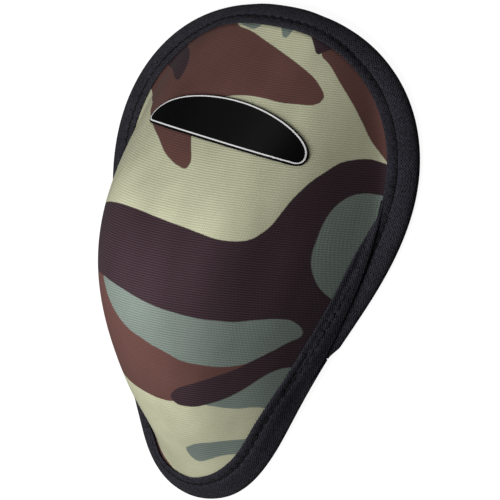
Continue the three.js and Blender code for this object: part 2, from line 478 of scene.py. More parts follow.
def under_badge(places):
    c, s = math.cos(BADGE["turn"]), math.sin(BADGE["turn"])
    dx, dy = places[:, 0] - BADGE["x"], places[:, 1] - BADGE["y"]
    u, v = dx * c + dy * s, dy * c - dx * s
    u, v = u / (BADGE["half"] + BADGE_HOLDS["past_ends"]), (v - BADGE_MIDDLE) / BADGE_HOLDS["half_height"]
    return np.hypot(u, v) < 1


def hold(piece, group):
    places = points_of(piece) / MM
    lined, badge = lined_points(piece), under_badge(places)
    held = piece.vertex_groups.new(name=group)
    for i, distance in enumerate(rim_distance(places)):
        at_rim = float(np.clip(1 - (distance - RIM_HOLDS) / RIM_FADES, 0, 1))
        held.add([i], 1.0 if i in lined or badge[i] else at_rim, "REPLACE")
    print("points under the badge:", int(badge.sum()), "lined:", len(lined))


# %% [markdown]
# A short cloth simulation with a light pressure inside gives the swell. Each point may move only a fraction
# of a millimetre, and a second level of subdivision then smooths the wall.

# %% Swell the padding
PRESSURE, MOMENTS = 10, 20
MOST_SWELL = 0.7  # mm
NO_MOVE = 1e-9


def swell(piece):
    before = points_of(piece)
    hold(piece, "held")
    only(piece)
    cloth = piece.modifiers.new("Cloth", "CLOTH")
    rules = cloth.settings
    rules.quality = 5
    rules.mass = 0.1
    rules.tension_stiffness = rules.compression_stiffness = 6
    rules.shear_stiffness = 3
    rules.bending_stiffness = 0.1
    rules.use_pressure = True
    rules.uniform_pressure_force = PRESSURE
    rules.vertex_group_mass = "held"
    rules.effector_weights.gravity = 0
    cloth.point_cache.frame_start, cloth.point_cache.frame_end = 1, MOMENTS
    for moment in range(1, MOMENTS + 1):
        bpy.context.scene.frame_set(moment)
    bpy.ops.object.modifier_apply(modifier=cloth.name)
    moved = points_of(piece) - before
    far = np.linalg.norm(moved, axis=1, keepdims=True) / MM + NO_MOVE
    moved *= MOST_SWELL * np.tanh(far / MOST_SWELL) / far
    move_points(piece, before + moved)
    piece.vertex_groups.clear()
    bpy.context.scene.frame_set(1)
    return far.ravel(), np.linalg.norm(moved, axis=1) / MM


free, kept = swell(wall)
print("swell, mm: free", round(float(free.max()), 2), "kept", round(float(kept.max()), 2),
      "mean", round(float(kept.mean()), 3))
apply_modifier(wall, "SUBSURF", levels=1, render_levels=1)
only(wall)
bpy.ops.object.shade_smooth()
print("wall triangles:", triangles_of(wall))

# %% [markdown]
# ## The print
# A woodland print is a few flat colours in large smooth patches. Each patch is charted as a closed line over
# the cup's plan, in millimetres, and drawn through its points as a smooth curve. For every point of the wall
# the distance inside each colour's patches is stored on the mesh, and the finish turns that distance into a
# crisp printed edge. Brown is printed first, then green, then the dark brown, which leaves a window for the
# green oval on the right.

# %% Chart of the print
BROWN = {
    "crown": [
        (-62, 58), (-46.8, 48.6), (-44, 46.4), (-34.4, 43.7), (-31.9, 41), (-24, 36.3), (-18, 33),
        (-11.9, 29), (-6.8, 26.7), (-2.7, 25.5), (-0.9, 25.5), (-0.3, 26.9), (-1.5, 29.3), (-4.6, 33.2),
        (-6.6, 36.2), (-8.4, 42.9), (-6.8, 48.3), (-2.1, 50.9), (4.3, 52.1), (10.3, 52.2), (16.2, 51.9),
        (21.1, 52.4), (25.6, 53.1), (27.3, 54.6), (27.3, 56.6), (25.3, 59), (21.5, 62), (14.4, 65.4),
        (6.9, 68.3), (-0.8, 71), (-7.8, 73.4), (-14, 74.7), (-26, 84), (-62, 84),
    ],
    "right_side": [
        (20.2, 69.9), (24, 67.1), (29.2, 62.1), (35, 56.1), (39.3, 50.6), (42.6, 45.8), (45.5, 42.5),
        (48.9, 38.9), (53.2, 34.2), (66, 30), (66, 84), (16, 84),
    ],
    "girdle": [
        (-62, -12), (-18.7, -11), (11.1, -24.5), (34.2, -14.8), (34.3, -22.9), (24.5, -38.9),
        (12.4, -46.1), (6.5, -48.4), (2.2, -48.6), (-2.2, -47.8), (-7.2, -46.6), (-12.5, -45.1),
        (-17.5, -43.2), (-24, -40), (-34, -35), (-62, -26),
    ],
    "lower_flank": [
        (-36, -48), (-17, -52), (-12.5, -57), (-12, -63), (-13, -67.5), (-11, -70.8), (-8.5, -73.2),
        (-5.2, -76.6), (-4, -84), (-36, -84),
    ],
}
GREEN = {
    "girdle": [
        (-15.9, -12.2), (-6.8, -10.8), (6.1, -12.6), (20.4, -13.5), (34.1, -10.8), (39.2, -16.9),
        (36.3, -22.9), (31.2, -26.2), (28.3, -29.7), (26.8, -31), (25.2, -32.2), (22.5, -33.4),
        (19.5, -34), (16.3, -34), (12.6, -33.6), (9, -31.9), (4.5, -30.3), (0.9, -28.8), (-2.9, -27.3),
        (-7.2, -24.3), (-11, -20.5), (-13.8, -16.9),
    ],
    "lower_right": [
        (13.4, -46.6), (15.9, -47.7), (17.4, -47.7), (19.8, -47.7), (22.2, -47.4), (24.3, -46.6),
        (26.2, -46.2), (28.2, -46.6), (34.3, -49.6), (46, -40), (42.3, -25.9), (30.5, -28.8),
        (20.5, -40.9),
    ],
    "tongue": [
        (4.3, -65.2), (5.5, -64.3), (8.7, -62.5), (13.2, -61), (17.2, -59.5), (20.8, -58.3),
        (24.6, -57.2), (30.2, -57.7), (27.2, -65.7), (22.3, -64.2), (19, -63.9), (16.8, -64.5),
        (13.8, -65.8), (10.2, -67.9), (7.8, -69), (6, -69), (4.8, -67.8),
    ],
    "first_tab": [(-14.9, 76.4), (-8.8, 74.2), (-6.4, 74.5), (-5, 78), (-12, 80.9)],
    "second_tab": [(1.4, 78.2), (3.9, 74), (5.5, 72.8), (6.5, 74.7), (6.8, 79.2)],
    "far_flank": [(-62, 30), (-50, 32), (-43, 27), (-41, 18), (-44, 10), (-52, 6), (-62, 6)],
}
DARK = {
    "crown_spot": [
        (-47.1, 65.8), (-38.1, 71.9), (-34, 65.1), (-29.6, 62.9), (-26.7, 59.6), (-25.8, 56.1),
        (-25.8, 53.3), (-26.6, 52.5), (-29.1, 53.4), (-34.4, 56), (-41.7, 57.6),
    ],
    "third_tab": [(12.3, 78.3), (17, 71.6), (19.1, 69.5), (20.3, 70.6), (22.4, 72.6), (21.9, 79.3)],
    "band_and_arm": [
        (-62, 2), (-45, 4), (-36.4, 6.5), (-30.5, 8.9), (-23.9, 10.1), (-16.6, 10.5), (-9, 10.1),
        (-2.1, 9.3), (4.2, 8.6), (10, 8), (15.5, 7.2), (19.2, 6.6), (21.9, 6.6), (24.9, 7.1),
        (27.1, 8.1), (28.8, 10.2), (30.5, 13.7), (31.6, 18), (32.7, 22.8), (33.8, 26.3), (35, 29.6),
        (36.9, 33.3), (38.8, 36.8), (41.2, 38.7), (43.8, 39.8), (46.3, 39.6), (48.9, 38.9), (55.4, 33.9),
        (66, 20), (60, -14), (48, -25.9), (38.5, -30.3), (33.1, -31.2), (31.5, -32.1), (29.5, -34),
        (27.1, -37), (24, -40.8), (20.5, -44.2), (17.7, -46.2), (15, -47.8), (12.6, -48.9), (10, -49.3),
        (8.1, -49.2), (6.8, -48.3), (6.6, -46.5), (8, -44.7), (9.8, -43.2), (13, -41.4), (17, -39),
        (20.5, -36.6), (23.7, -34.2), (26.8, -31), (31.2, -26.2), (33.9, -22.8), (35.8, -20.8),
        (36.5, -19.1), (36.5, -17.5), (36, -16.2), (35.1, -15.3), (33.8, -15.2), (31.2, -16),
        (28.5, -17.1), (25.5, -18.3), (22.5, -18.6), (19.2, -18.9), (15.5, -18.7), (11.4, -18.3),
        (6.5, -17.7), (0.6, -16.5), (-5.9, -14.8), (-11.2, -13.6), (-15.8, -12.7), (-23.3, -12.3),
        (-34, -13.5), (-62, -18),
    ],
}
OVAL = [
    (57.7, 26.4), (49.2, 29.1), (47.2, 29.1), (45.5, 28.8), (43.5, 27.5), (41.8, 24.6), (40.6, 20.9),
    (39.9, 16.4), (39.5, 11.9), (39.1, 7.1), (39.1, 3.3), (39.6, -0.4), (40.3, -3.6), (41.7, -6.4),
    (44.9, -11), (60, -12), (64, 8),
]

print("patches charted:", len(BROWN), "brown,", len(GREEN), "green,", len(DARK), "dark")

# %% [markdown]
# A closed curve runs through the points of each patch, with its direction at each point set by the
# neighbours on both sides. The distance from a place to the curve is positive inside it.

# %% Distance inside a patch
CURVE_STEPS = 6
TINY, NO_LENGTH = 1e-9, 1e-12
OVERPRINT = 1  # mm that the green of the oval reaches under the dark brown


def smooth_outline(knots):
    b = np.array(knots, float)
    a, c, d = np.roll(b, 1, 0), np.roll(b, -1, 0), np.roll(b, -2, 0)
    ab, bc, cd = (np.linalg.norm(q - p, axis=1)[:, None] for p, q in ((a, b), (b, c), (c, d)))
    leave, arrive = bc * (c - a) / (ab + bc), bc * (d - b) / (bc + cd)
    w = np.linspace(0, 1, CURVE_STEPS, endpoint=False)[:, None, None]
    curve = (
        (2 * w**3 - 3 * w**2 + 1) * b + (w**3 - 2 * w**2 + w) * leave
        + (3 * w**2 - 2 * w**3) * c + (w**3 - w**2) * arrive
    )
    return curve.transpose(1, 0, 2).reshape(-1, 2)


def inside_by(places, knots):
    p = smooth_outline(knots)
    q = np.roll(p, -1, 0)
    nearest = np.full(len(places), np.inf)
    crossed = np.zeros(len(places), int)
    for start, way, end in zip(p, q - p, q):
        away = places - start
        share = np.clip(away @ way / (way @ way + NO_LENGTH), 0, 1)
        nearest = np.minimum(nearest, np.hypot(*(away - share[:, None] * way).T))
        spans = (start[1] > places[:, 1]) != (end[1] > places[:, 1])
        rise = way[1] if abs(way[1]) > TINY else TINY
        at = start[0] + (places[:, 1] - start[1]) * way[0] / rise
        crossed += spans & (places[:, 0] < at)
    return np.where(crossed % 2 == 1, nearest, -nearest)


def inside_any(places, patches):
    return np.max([inside_by(places, knots) for knots in patches.values()], axis=0)


# %% [markdown]
# Each colour becomes one layer of distances on the wall. The oval is green and is cut out of the dark brown.

# %% Print the patches on the wall
plan = points_of(wall)[:, :2] / MM
oval = inside_by(plan, OVAL)
printed = {
    "print_brown": inside_any(plan, BROWN),
    "print_green": np.maximum(inside_any(plan, GREEN), oval + OVERPRINT),
    "print_dark": np.minimum(inside_any(plan, DARK), -oval),
}
for name, values in printed.items():
    keep_layer(wall, name, values)
    print(name, "covers", round(float((values > 0).mean()) * 100), "% of the points")

# %% [markdown]
# ## The knit
# The cover is a fine knit whose courses run across the cup, 0.77 mm apart, and sag a little over the dome.
# It could be modelled thread by thread, but at this size a bump with a slight change of tone reads the same.
# Two rows of bands give the courses and the wales, a fine noise gives the fuzz, and a noise drawn out along
# the cup gives faint streaks, partly a change of tone in the knit and partly painted shade and highlight of
# soft folds.

# %% Pattern of the knit
COURSE, WALE = 0.00077, 0.00062  # m
LOOP = {"Detail": 1, "Detail Scale": 0.4}
SAG = -2.2  # of a course, for each square of the distance from the middle, in metres
STREAK_DRAWN = (1, 0.22, 1)

knit, tree, shader = new_finish("camouflage_knit")
where = object_place(tree)
split = add(tree, "SeparateXYZ", {"Vector": where}).outputs
square = calc(tree, "MULTIPLY", split["X"], split["X"])
sag = calc(tree, "MULTIPLY_ADD", square, SAG, split["Y"])
sagged = add(tree, "CombineXYZ", {"X": split["X"], "Y": sag, "Z": split["Z"]}).outputs["Vector"]
courses = bands(tree, sagged, COURSE, "Y", {"Distortion": 0.8, **LOOP})
wales = bands(tree, where, WALE, "X", {"Distortion": 1.2, **LOOP})
fuzz = noise(tree, where, 2600)
drawn = add(tree, "Mapping", {"Vector": where, "Scale": STREAK_DRAWN}).outputs["Vector"]
# the streaks stand partly for painted shade and highlight of soft folds
streaks_and_fold_shade = noise(tree, drawn, 75)
loops = calc(tree, "MULTIPLY", courses, wales)
depth = calc(tree, "ADD", courses, loops)
print("nodes of the knit's pattern:", len(tree.nodes))

# %% [markdown]
# The printed colours come from the stored distances, with a little noise so that the ink follows the loops.
# The green and the dark brown are coloured darker between the courses, as painted shade in the grooves.

# %% Colours of the print
KHAKI = (0.52, 0.52, 0.362, 1)
BROWN_INK = (0.119, 0.056, 0.0485, 1)
# painted shade: the first colour of the green and of the dark brown lies between the courses, in the grooves
GREEN_GROOVE_SHADE, GREEN_INK = (0.156, 0.188, 0.167, 1), (0.200, 0.241, 0.212, 1)
DARK_GROOVE_SHADE, DARK_INK = (0.030, 0.018, 0.0225, 1), (0.055, 0.033, 0.041, 1)
INK_EDGE = (-0.16, 0.16)  # mm

waver = ranged(tree, fuzz, to=INK_EDGE)


def over(below, name, ink):
    """Prints one layer's ink over the colour below it."""
    layer = add(tree, "Attribute", {}, attribute_name=name).outputs["Fac"]
    share = ranged(tree, calc(tree, "ADD", layer, waver), since=INK_EDGE, how="SMOOTHSTEP")
    return mixed(tree, share, below, ink)


colour = over(KHAKI, "print_brown", BROWN_INK)
# painted shade between the courses of the green and the dark brown
colour = over(colour, "print_green", mixed(tree, courses, GREEN_GROOVE_SHADE, GREEN_INK))
colour = over(colour, "print_dark", mixed(tree, courses, DARK_GROOVE_SHADE, DARK_INK))
print("nodes with the print:", len(tree.nodes))

# %% [markdown]
# The depth of the loops, the streaks and the fuzz each change the tone by a few per cent. The tone is darker
# where the loops lie deep and lighter on their crests, as painted shade and highlight, and the streaks are
# partly painted shade and highlight of soft folds. The bump is low, and a faint sheen gives the brushed look
# at the edge of the dome.

# %% Tone and relief of the knit
# painted shade and highlight: darker where the loops lie deep, lighter on their crests
tone = ranged(tree, depth, to=(0.91, 1.09), since=(0, 2))
# partly painted shade and highlight of soft folds, partly a change of tone in the knit
drift_and_fold_shade = ranged(tree, streaks_and_fold_shade, to=(0.9, 1.1), since=(0.3, 0.7))
grain = ranged(tree, fuzz, to=(0.93, 1.07), since=(0.25, 0.75))
tone = calc(tree, "MULTIPLY", calc(tree, "MULTIPLY", tone, drift_and_fold_shade), grain)
plug(tree, shader, {
    "Base Color": add(tree, "HueSaturation", {"Color": colour, "Value": tone}).outputs["Color"],
    "Normal": bump(tree, depth, 0.25, 0.00015),
    "Roughness": ranged(tree, fuzz, to=(0.78, 0.94)),
    "Specular IOR Level": 0.04,
    "Sheen Weight": 0.04,
    "Sheen Roughness": 0.45,
    "Sheen Tint": (1, 0.97, 0.92, 1),
})
wall.data.materials.append(knit)
print("finish:", knit.name, "nodes:", len(tree.nodes))

# %% [markdown]
# The lining is a plain black knit with a slanting rib. It shows inside the hollow, seen from below.

# %% Finish of the lining
LINING_PITCH = 0.0009  # m
LINING_LOW, LINING_HIGH = (0.012, 0.012, 0.014, 1), (0.034, 0.034, 0.038, 1)

lining, tree, shader = new_finish("black_lining")
where = object_place(tree)
ribs = bands(tree, where, LINING_PITCH, "DIAGONAL", {"Distortion": 1})
fuzz = noise(tree, where, 1800)
plug(tree, shader, {
    "Base Color": two_tones(tree, fuzz, LINING_LOW, LINING_HIGH),
    "Normal": bump(tree, calc(tree, "ADD", ribs, fuzz), 0.3, 0.0002),
    "Roughness": 0.9,
    "Sheen Weight": 0.15,
})
wall.data.materials.append(lining)
print("finish:", lining.name, "nodes:", len(tree.nodes))

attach(wall, "root")
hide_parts("cup_wall")

# %% [markdown]
# ## The bound edge
# A woven tape is folded round the pressed rim and sewn through all layers. A bevelled curve could stand in
# for it, but a curve cannot keep its flat legs on a face that turns all the way round, so a long flat grid is
# laid round the rim instead, row by row: front leg, half turn, back leg. Its places along the rim are counted
# in columns, as in the solids.

# %% Sizes of the tape
GAP, TAPE, WALL_EDGE = 0.3, 0.9, 2.6
EDGE, FRONT, BACK = 2.5, 10.5, 8.0  # from the rim: where the fold starts, the free edges in front and behind
SEAM_IN, STITCH = 3.4, 3.5
STEPS = 8  # sections to each stitch
LAP = {
    "tip": 19, "covered": 24, "cornered": 28.1, "under_end": 29, "over_start": 29.15, "joined": 31,
    "sunk": 32.5, "settled": 37,
}


def ease(v, low, high):
    w = np.clip((v - low) / (high - low), 0, 1)
    return w * w * (3 - 2 * w)


def evenly(first, last, spacing):
    """Columns between two, spaced evenly along the rim, and how far along the tape each of them lies."""
    fine = np.linspace(first, last, 6000)
    run = np.concatenate([[0], np.cumsum(np.linalg.norm(np.diff(rim_point(fine), axis=0), axis=1))])
    marks = np.linspace(0, run[-1], max(2, int(round(run[-1] / spacing))) + 1)
    return np.interp(marks, run, fine), marks


print("once round the rim, mm:", round(float(evenly(0, COLUMNS, STITCH)[1][-1])))

# %% [markdown]
# From the lap round the lower end the tape was sewn further in than elsewhere. The table gives by how much at
# some columns, and the mean of three neighbouring places rounds its corners.

# %% Where the tape strays inwards
STRAY = {
    29.15: 3.6, 31: 4.0, 32.5: 4.5, 34: 4.7, 35.2: 4.4, 36.5: 3.6, 38.4: 2.8, 41: 2.6, 44.7: 2.1,
    47.2: 1.2, 49: 1.3, 50.5: 1.4, 54: 0,
}  # column: mm
STRAY_SHIFTS = (-0.5, 0, 0.5)


def stray(column):
    at, by = list(STRAY), list(STRAY.values())
    return sum(np.interp(column + shift, at, by) for shift in STRAY_SHIFTS) / len(STRAY_SHIFTS)


print("strays by up to, mm:", round(float(stray(np.linspace(0, COLUMNS, 500)).max()), 1))

# %% [markdown]
# The seam pulls a groove in the front leg, deeper at each needle hole and a little uneven along the tape, and
# the cloth is full on both sides of it.

# %% Fullness and seam of the tape
LIP_HIGH, ROLL_HIGH, ROLL_WIDE = 0.12, 0.30, 5.2
GROOVE = {"deep": 0.32, "wide": 0.65}
HOLE = {"deep": 0.45, "wide": 1.0, "sharp": 8}
UNEVEN, UNEVEN_RUNS = 0.35, (4.3, 11.7)


def fullness_across(width):
    """Height of the front leg over a flat tape, by the distance from its free edge."""
    lip = LIP_HIGH * np.sin(np.pi * np.clip(width / SEAM_IN, 0, 1))
    roll = ROLL_HIGH * np.sin(np.pi * np.clip((width - SEAM_IN) / ROLL_WIDE, 0, 1))
    return lip + roll


def seam_dip(width, run):
    stitches = round(run.max() / STITCH)
    hole = np.abs(np.cos(np.pi * stitches * run / run.max())) ** HOLE["sharp"]
    uneven = 1 + UNEVEN * np.sin(run / UNEVEN_RUNS[0]) * np.sin(run / UNEVEN_RUNS[1])
    groove = np.exp(-(((width - SEAM_IN) / GROOVE["wide"]) ** 2))
    pucker = np.exp(-(((width - SEAM_IN) / HOLE["wide"]) ** 2))
    return (GROOVE["deep"] * groove + HOLE["deep"] * hole * pucker) * uneven


# %% [markdown]
# A section of the tape has its front leg first, from the free edge outwards, then the half turn round the
# wall's edge, then the back leg. Near both ends the turn is drawn in, so that the lap can lie over it.

# %% Sections of the tape
LEG = np.array([0, 0.1, 0.3, 0.8, 1.5, 2.1, 2.6, 3.0, 3.4, 3.8, 4.2, 4.7, 5.4, 6.2, 7, 7.6, 8.0])
EDGE_ROUND = np.array([0.42, 0.22, 0.06] + [0] * (len(LEG) - 3))
BACK_LEG = np.array([EDGE, 4, 5.5, 7, 7.7, BACK])
BACK_ROUND = np.array([0, 0, 0, 0, 0.1, 0.45])[:, None]
TURN_STEPS, TURN_FULL = 11, 0.12
SNUG = 0.45  # share of the turn's reach that is left at the ends


def folded(columns, run):
    tight = 1 - ease(columns, LAP["over_start"], LAP["settled"])
    cornered = ease(columns - COLUMNS, LAP["cornered"], LAP["under_end"])
    reach = 1 + (SNUG - 1) * np.maximum(tight, cornered)
    loose = stray(columns)[:, None]
    leg = LEG * (1 + loose / (FRONT - EDGE))
    point, normal, _ = from_rim(columns, FRONT + loose - leg)
    high = TAPE + fullness_across(leg) - seam_dip(leg, run[:, None]) - EDGE_ROUND
    rows = [point + normal * (GAP + high)[..., None]]
    edge, up_from, out = (v[:, 0] for v in from_rim(columns, np.array([EDGE])))
    centre = edge - up_from * WALL_EDGE / 2
    for turn in np.linspace(0, np.pi, TURN_STEPS)[1:-1]:
        way = up_from * math.cos(turn) + out * (reach * math.sin(turn))[:, None]
        far = WALL_EDGE / 2 + GAP + TAPE + TURN_FULL * math.sin(turn)
        rows.append((centre + way * far)[:, None])
    point, normal, _ = from_rim(columns, BACK_LEG)
    rows.append(point - normal * (WALL_EDGE + GAP + TAPE - BACK_ROUND))
    rows = np.concatenate(rows, 1)
    rows[..., 2] = np.maximum(rows[..., 2], 0)
    return rows


# %% [markdown]
# A strip starts as a flat grid with one line of points for each section. The lines are laid on the sections,
# and a Solidify modifier gives the cloth its thickness on the side of the rim. Two layers on the mesh keep
# how far each point lies along the tape and across it, so that the weave can follow the tape.

# %% Lay a strip of tape
TAPE_CLOTH, LAP_CLOTH = 1.1, 0.9  # mm
SMOOTH_BELOW = math.radians(60)


def lay_strip(name, rows, run, thick):
    count, across = rows.shape[:2]
    bpy.ops.object.select_all(action="DESELECT")
    bpy.ops.mesh.primitive_grid_add(x_subdivisions=across - 1, y_subdivisions=count - 1, size=2)
    strip = bpy.context.object
    strip.name = strip.data.name = name
    flat = points_of(strip)
    i = np.rint((1 + flat[:, 1]) / 2 * (count - 1)).astype(int)
    k = np.rint((1 - flat[:, 0]) / 2 * (across - 1)).astype(int)
    move_points(strip, rows[i, k] * MM)
    steps = np.linalg.norm(np.diff(rows, axis=1), axis=-1)
    width = np.concatenate([np.zeros((count, 1)), np.cumsum(steps, axis=1)], axis=1)
    keep_layer(strip, "along_tape", run[i])
    keep_layer(strip, "across_tape", width[i, k])
    apply_modifier(strip, "SOLIDIFY", thickness=thick * MM, offset=-1)
    only(strip)
    bpy.ops.object.shade_smooth_by_angle(angle=SMOOTH_BELOW)
    return strip


columns, run = evenly(LAP["over_start"], COLUMNS + LAP["under_end"], STITCH / STEPS)
tape = lay_strip("bound_edge", folded(columns, run), run, TAPE_CLOTH)
print("tape length", round(float(run[-1])), "mm, triangles", triangles_of(tape))

# %% [markdown]
# Where the two ends meet on the right side, the end from below runs on over the front of the other one as a
# long tapering strip. It is laid in the same way, raised over the tape beneath it, and it sinks into its own
# tape at the lower end.

# %% The lapped end
LAP_INNER, LAP_OUTER = 3.6, 3.2  # inner edge past the tape's own, outer edge from the rim
LAP_SHARE = np.array([
    0, 0.015, 0.05, 0.12, 0.2, 0.28, 0.36, 0.45, 0.55, 0.65, 0.75, 0.84, 0.92, 0.97, 0.99, 1,
])
LAP_ROUND = np.array([0.42, 0.2, 0.05] + [0] * 10 + [0.05, 0.2, 0.42])
LAP_CLEAR, LAP_SINKS = 0.05, 0.25
TIP_INNER, TIP_OUTER = 0.2, 0.6  # the tip's edges, in from the free edge of the tape
TIP_RISES, TIP_THIN = 2.5, (0.1, 0.7, 0.2)  # columns, and shares of the thickness: tip, rise, cover
LAP_FULL = 0.7
STEPS_DOWN = (FRONT - 0.2, FRONT + 1.6)  # from the tape beneath to the knit
TUCKED = {"by": 0.1, "from": 28, "to": 30}  # under the free edge of its own tape


def lap_bottom(columns, distance):
    """Height of the lap over the face: on the tape beneath, on the knit further in, sunk at the lower end."""
    near = LAP_CLEAR + (GAP + TAPE) * (1 - ease(distance, *STEPS_DOWN))
    return near - ease(columns, LAP["under_end"], LAP["sunk"]) * (near + LAP_SINKS)


def lapped(columns, run):
    entry = ease(columns, LAP["tip"], LAP["covered"])
    inner_edge = FRONT - TIP_INNER + (LAP_INNER + TIP_INNER) * entry
    tucked = TUCKED["by"] * ease(columns, TUCKED["from"], TUCKED["to"])
    inner_edge = np.minimum(inner_edge, FRONT + stray(columns) - tucked)
    leaves = ease(columns, LAP["tip"] + 0.5, LAP["joined"])
    outer_edge = FRONT - TIP_OUTER + (LAP_OUTER - FRONT + TIP_OUTER) * leaves
    distance = inner_edge[:, None] + (outer_edge - inner_edge)[:, None] * LAP_SHARE
    point, normal, _ = from_rim(columns, distance)
    width = inner_edge[:, None] - distance
    rising = ease(columns, LAP["tip"], LAP["tip"] + TIP_RISES)[:, None]
    thick = TAPE * (TIP_THIN[0] + TIP_THIN[1] * rising + TIP_THIN[2] * entry[:, None])
    thick = thick + fullness_across(width) * LAP_FULL - LAP_ROUND
    sewn = ease(columns, LAP["covered"], LAP["covered"] + 2)[:, None]
    dip = seam_dip(width, run[:, None]) * sewn
    return point + normal * (lap_bottom(columns[:, None], distance) + thick - dip)[..., None]


columns, run = evenly(LAP["tip"], LAP["sunk"], STITCH / STEPS)
lap = lay_strip("lapped_end", lapped(columns, run), run, LAP_CLOTH)
only(tape)
lap.select_set(True)
bpy.ops.object.join()
print("lap length", round(float(run[-1])), "mm, triangles with the tape", triangles_of(tape))

# %% [markdown]
# The tape is woven from matt black yarn. Two sines, one along the tape and one across it, give the crossing
# threads, and a wider noise gives the dusty wear that makes black cloth look grey in strong light. The yarn's
# colour is lighter on the crossing threads and darker between them, as painted highlight and shade, and a
# fine noise varies it at random.

# %% Finish of the tape
WARP_PITCH, WEFT_PITCH = 1.1, 0.95  # mm
YARN_LOW, YARN_HIGH = (0.005, 0.0048, 0.0066, 1), (0.041, 0.039, 0.052, 1)

weave, tree, shader = new_finish("binding_tape")


def threads(layer, pitch):
    run = add(tree, "Attribute", {}, attribute_name=layer).outputs["Fac"]
    return calc(tree, "SINE", calc(tree, "MULTIPLY", run, 2 * math.pi / pitch))


crossing = calc(tree, "MULTIPLY", threads("along_tape", WARP_PITCH), threads("across_tape", WEFT_PITCH))
where = object_place(tree)
fuzz = noise(tree, where, 1300)
dust = noise(tree, where, 120, detail=4)
height = calc(tree, "MULTIPLY_ADD", crossing, 0.3, fuzz)
# painted highlight and shade: the yarn is lighter on the crossing threads and darker between them
yarn_and_painted_light = mixed(tree, ranged(tree, height, since=(0.2, 0.8)), YARN_LOW, YARN_HIGH)
worn = ranged(tree, dust, to=(0.8, 1.25))
plug(tree, shader, {
    "Base Color": add(tree, "HueSaturation", {"Color": yarn_and_painted_light, "Value": worn}).outputs["Color"],
    "Normal": bump(tree, height, 0.75, 0.0004),
    "Roughness": ranged(tree, fuzz, to=(0.7, 0.95)),
    "Specular IOR Level": 0.08,
    "Sheen Weight": 0.03,
    "Sheen Roughness": 0.5,
})
tape.data.materials.clear()
tape.data.materials.append(weave)
print("finish:", weave.name, "nodes:", len(tree.nodes))

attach(tape, "root")
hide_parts("edge_binding")

# %% [markdown]
# ## The thread
# One line of lock stitches holds the tape, 3.4 mm from its free edge. A single stitch is modelled from a
# low cylinder whose ends are drawn in and bent down into the needle holes.

# %% One stitch
STITCH_LONG, STITCH_RADIUS = 2.9, 0.26
STITCH_CUTS = (-0.9, 0, 0.9)
END_DRAWN, STITCH_HIGH, END_BENT = 0.45, 0.1, 0.42

bpy.ops.object.select_all(action="DESELECT")
bpy.ops.mesh.primitive_cylinder_add(
    vertices=8, radius=STITCH_RADIUS * MM, depth=STITCH_LONG * MM, rotation=(0, math.pi / 2, 0)
)
stitch = bpy.context.object
bpy.ops.object.transform_apply(rotation=True)
bpy.ops.object.mode_set(mode="EDIT")
for cut in STITCH_CUTS:
    bpy.ops.mesh.select_all(action="SELECT")
    bpy.ops.mesh.bisect(plane_co=(cut * MM, 0, 0), plane_no=(1, 0, 0))
bpy.ops.object.mode_set(mode="OBJECT")
shape = points_of(stitch) / MM
bent = np.abs(shape[:, 0]) / (STITCH_LONG / 2)
shape[:, 1:] *= (1 - END_DRAWN * bent**4)[:, None]
shape[:, 2] += STITCH_HIGH - END_BENT * bent**2
move_points(stitch, shape * MM)
print("stitch faces:", len(stitch.data.polygons))

# %% [markdown]
# The stitch is copied along the seam, each copy with its own mesh, which is turned to the seam's direction
# and to the face. On the back leg the copies are set out from the wall's other side.

# %% Helpers for sewing
AHEAD = 0.02  # columns, to find the seam's direction


def seam_frames(columns, distance, height, below=False):
    point, normal, _ = from_rim(columns, distance[:, None])
    ahead, _, _ = from_rim(columns + AHEAD, distance[:, None])
    point, normal, way = point[:, 0], normal[:, 0], (ahead - point)[:, 0]
    way /= np.linalg.norm(way, axis=1, keepdims=True)
    if below:
        point, normal = point - normal * WALL_EDGE, -normal
    return point + normal * height, way, normal


def sew(columns, distance, height, below=False):
    made = []
    for place, way, normal in zip(*seam_frames(columns, distance, height, below)):
        side = np.cross(normal, way)
        copy = bpy.data.objects.new("stitch", stitch.data.copy())
        bpy.context.collection.objects.link(copy)
        turn = np.stack([way, side, normal], 1)
        move_points(copy, (points_of(stitch) @ turn.T) + place * MM)
        made.append(copy)
    return made


def stitch_columns(first, last):
    columns, _ = evenly(first, last, STITCH)
    return (columns[1:] + columns[:-1]) / 2


# %% [markdown]
# The seam runs on the folded tape from the lap all the way round, and again on the lapped end. A second line
# shows on the back leg, where the lower thread comes out. All the stitches are joined into one piece.

# %% Sew the seam
SUNK, BACK_SUNK = 0.2, 0.02  # mm below the top of the tape
BACK_SEAM = 6.6  # mm from the rim
LAP_SEAM = (24.5, LAP["joined"] + 1)
HIDDEN_FROM = COLUMNS + 23.2  # from here the lap covers the tape's own seam

round_rim = stitch_columns(LAP["over_start"], COLUMNS + LAP["under_end"])
shown = round_rim[(round_rim > LAP_SEAM[1]) & (round_rim < HIDDEN_FROM)]
on_lap = stitch_columns(LAP["tip"], LAP["sunk"])
on_lap = on_lap[(on_lap > LAP_SEAM[0]) & (on_lap < LAP_SEAM[1])]
made = sew(shown, FRONT + stray(shown) - SEAM_IN, GAP + TAPE - SUNK)
lap_seam = np.minimum(FRONT + stray(on_lap), FRONT + LAP_INNER) - SEAM_IN
lap_height = np.maximum(lap_bottom(on_lap, lap_seam), GAP) + TAPE - SUNK
made += sew(on_lap, lap_seam, lap_height[:, None])
made += sew(round_rim, np.full_like(round_rim, BACK_SEAM), GAP + TAPE - BACK_SUNK, below=True)
only(made[0])
for copy in made:
    copy.select_set(True)
bpy.ops.object.join()
thread = bpy.context.object
thread.name = thread.data.name = "seam_thread"
bpy.ops.object.shade_smooth()
bpy.data.objects.remove(stitch)
print("stitches:", len(made), "triangles:", triangles_of(thread))

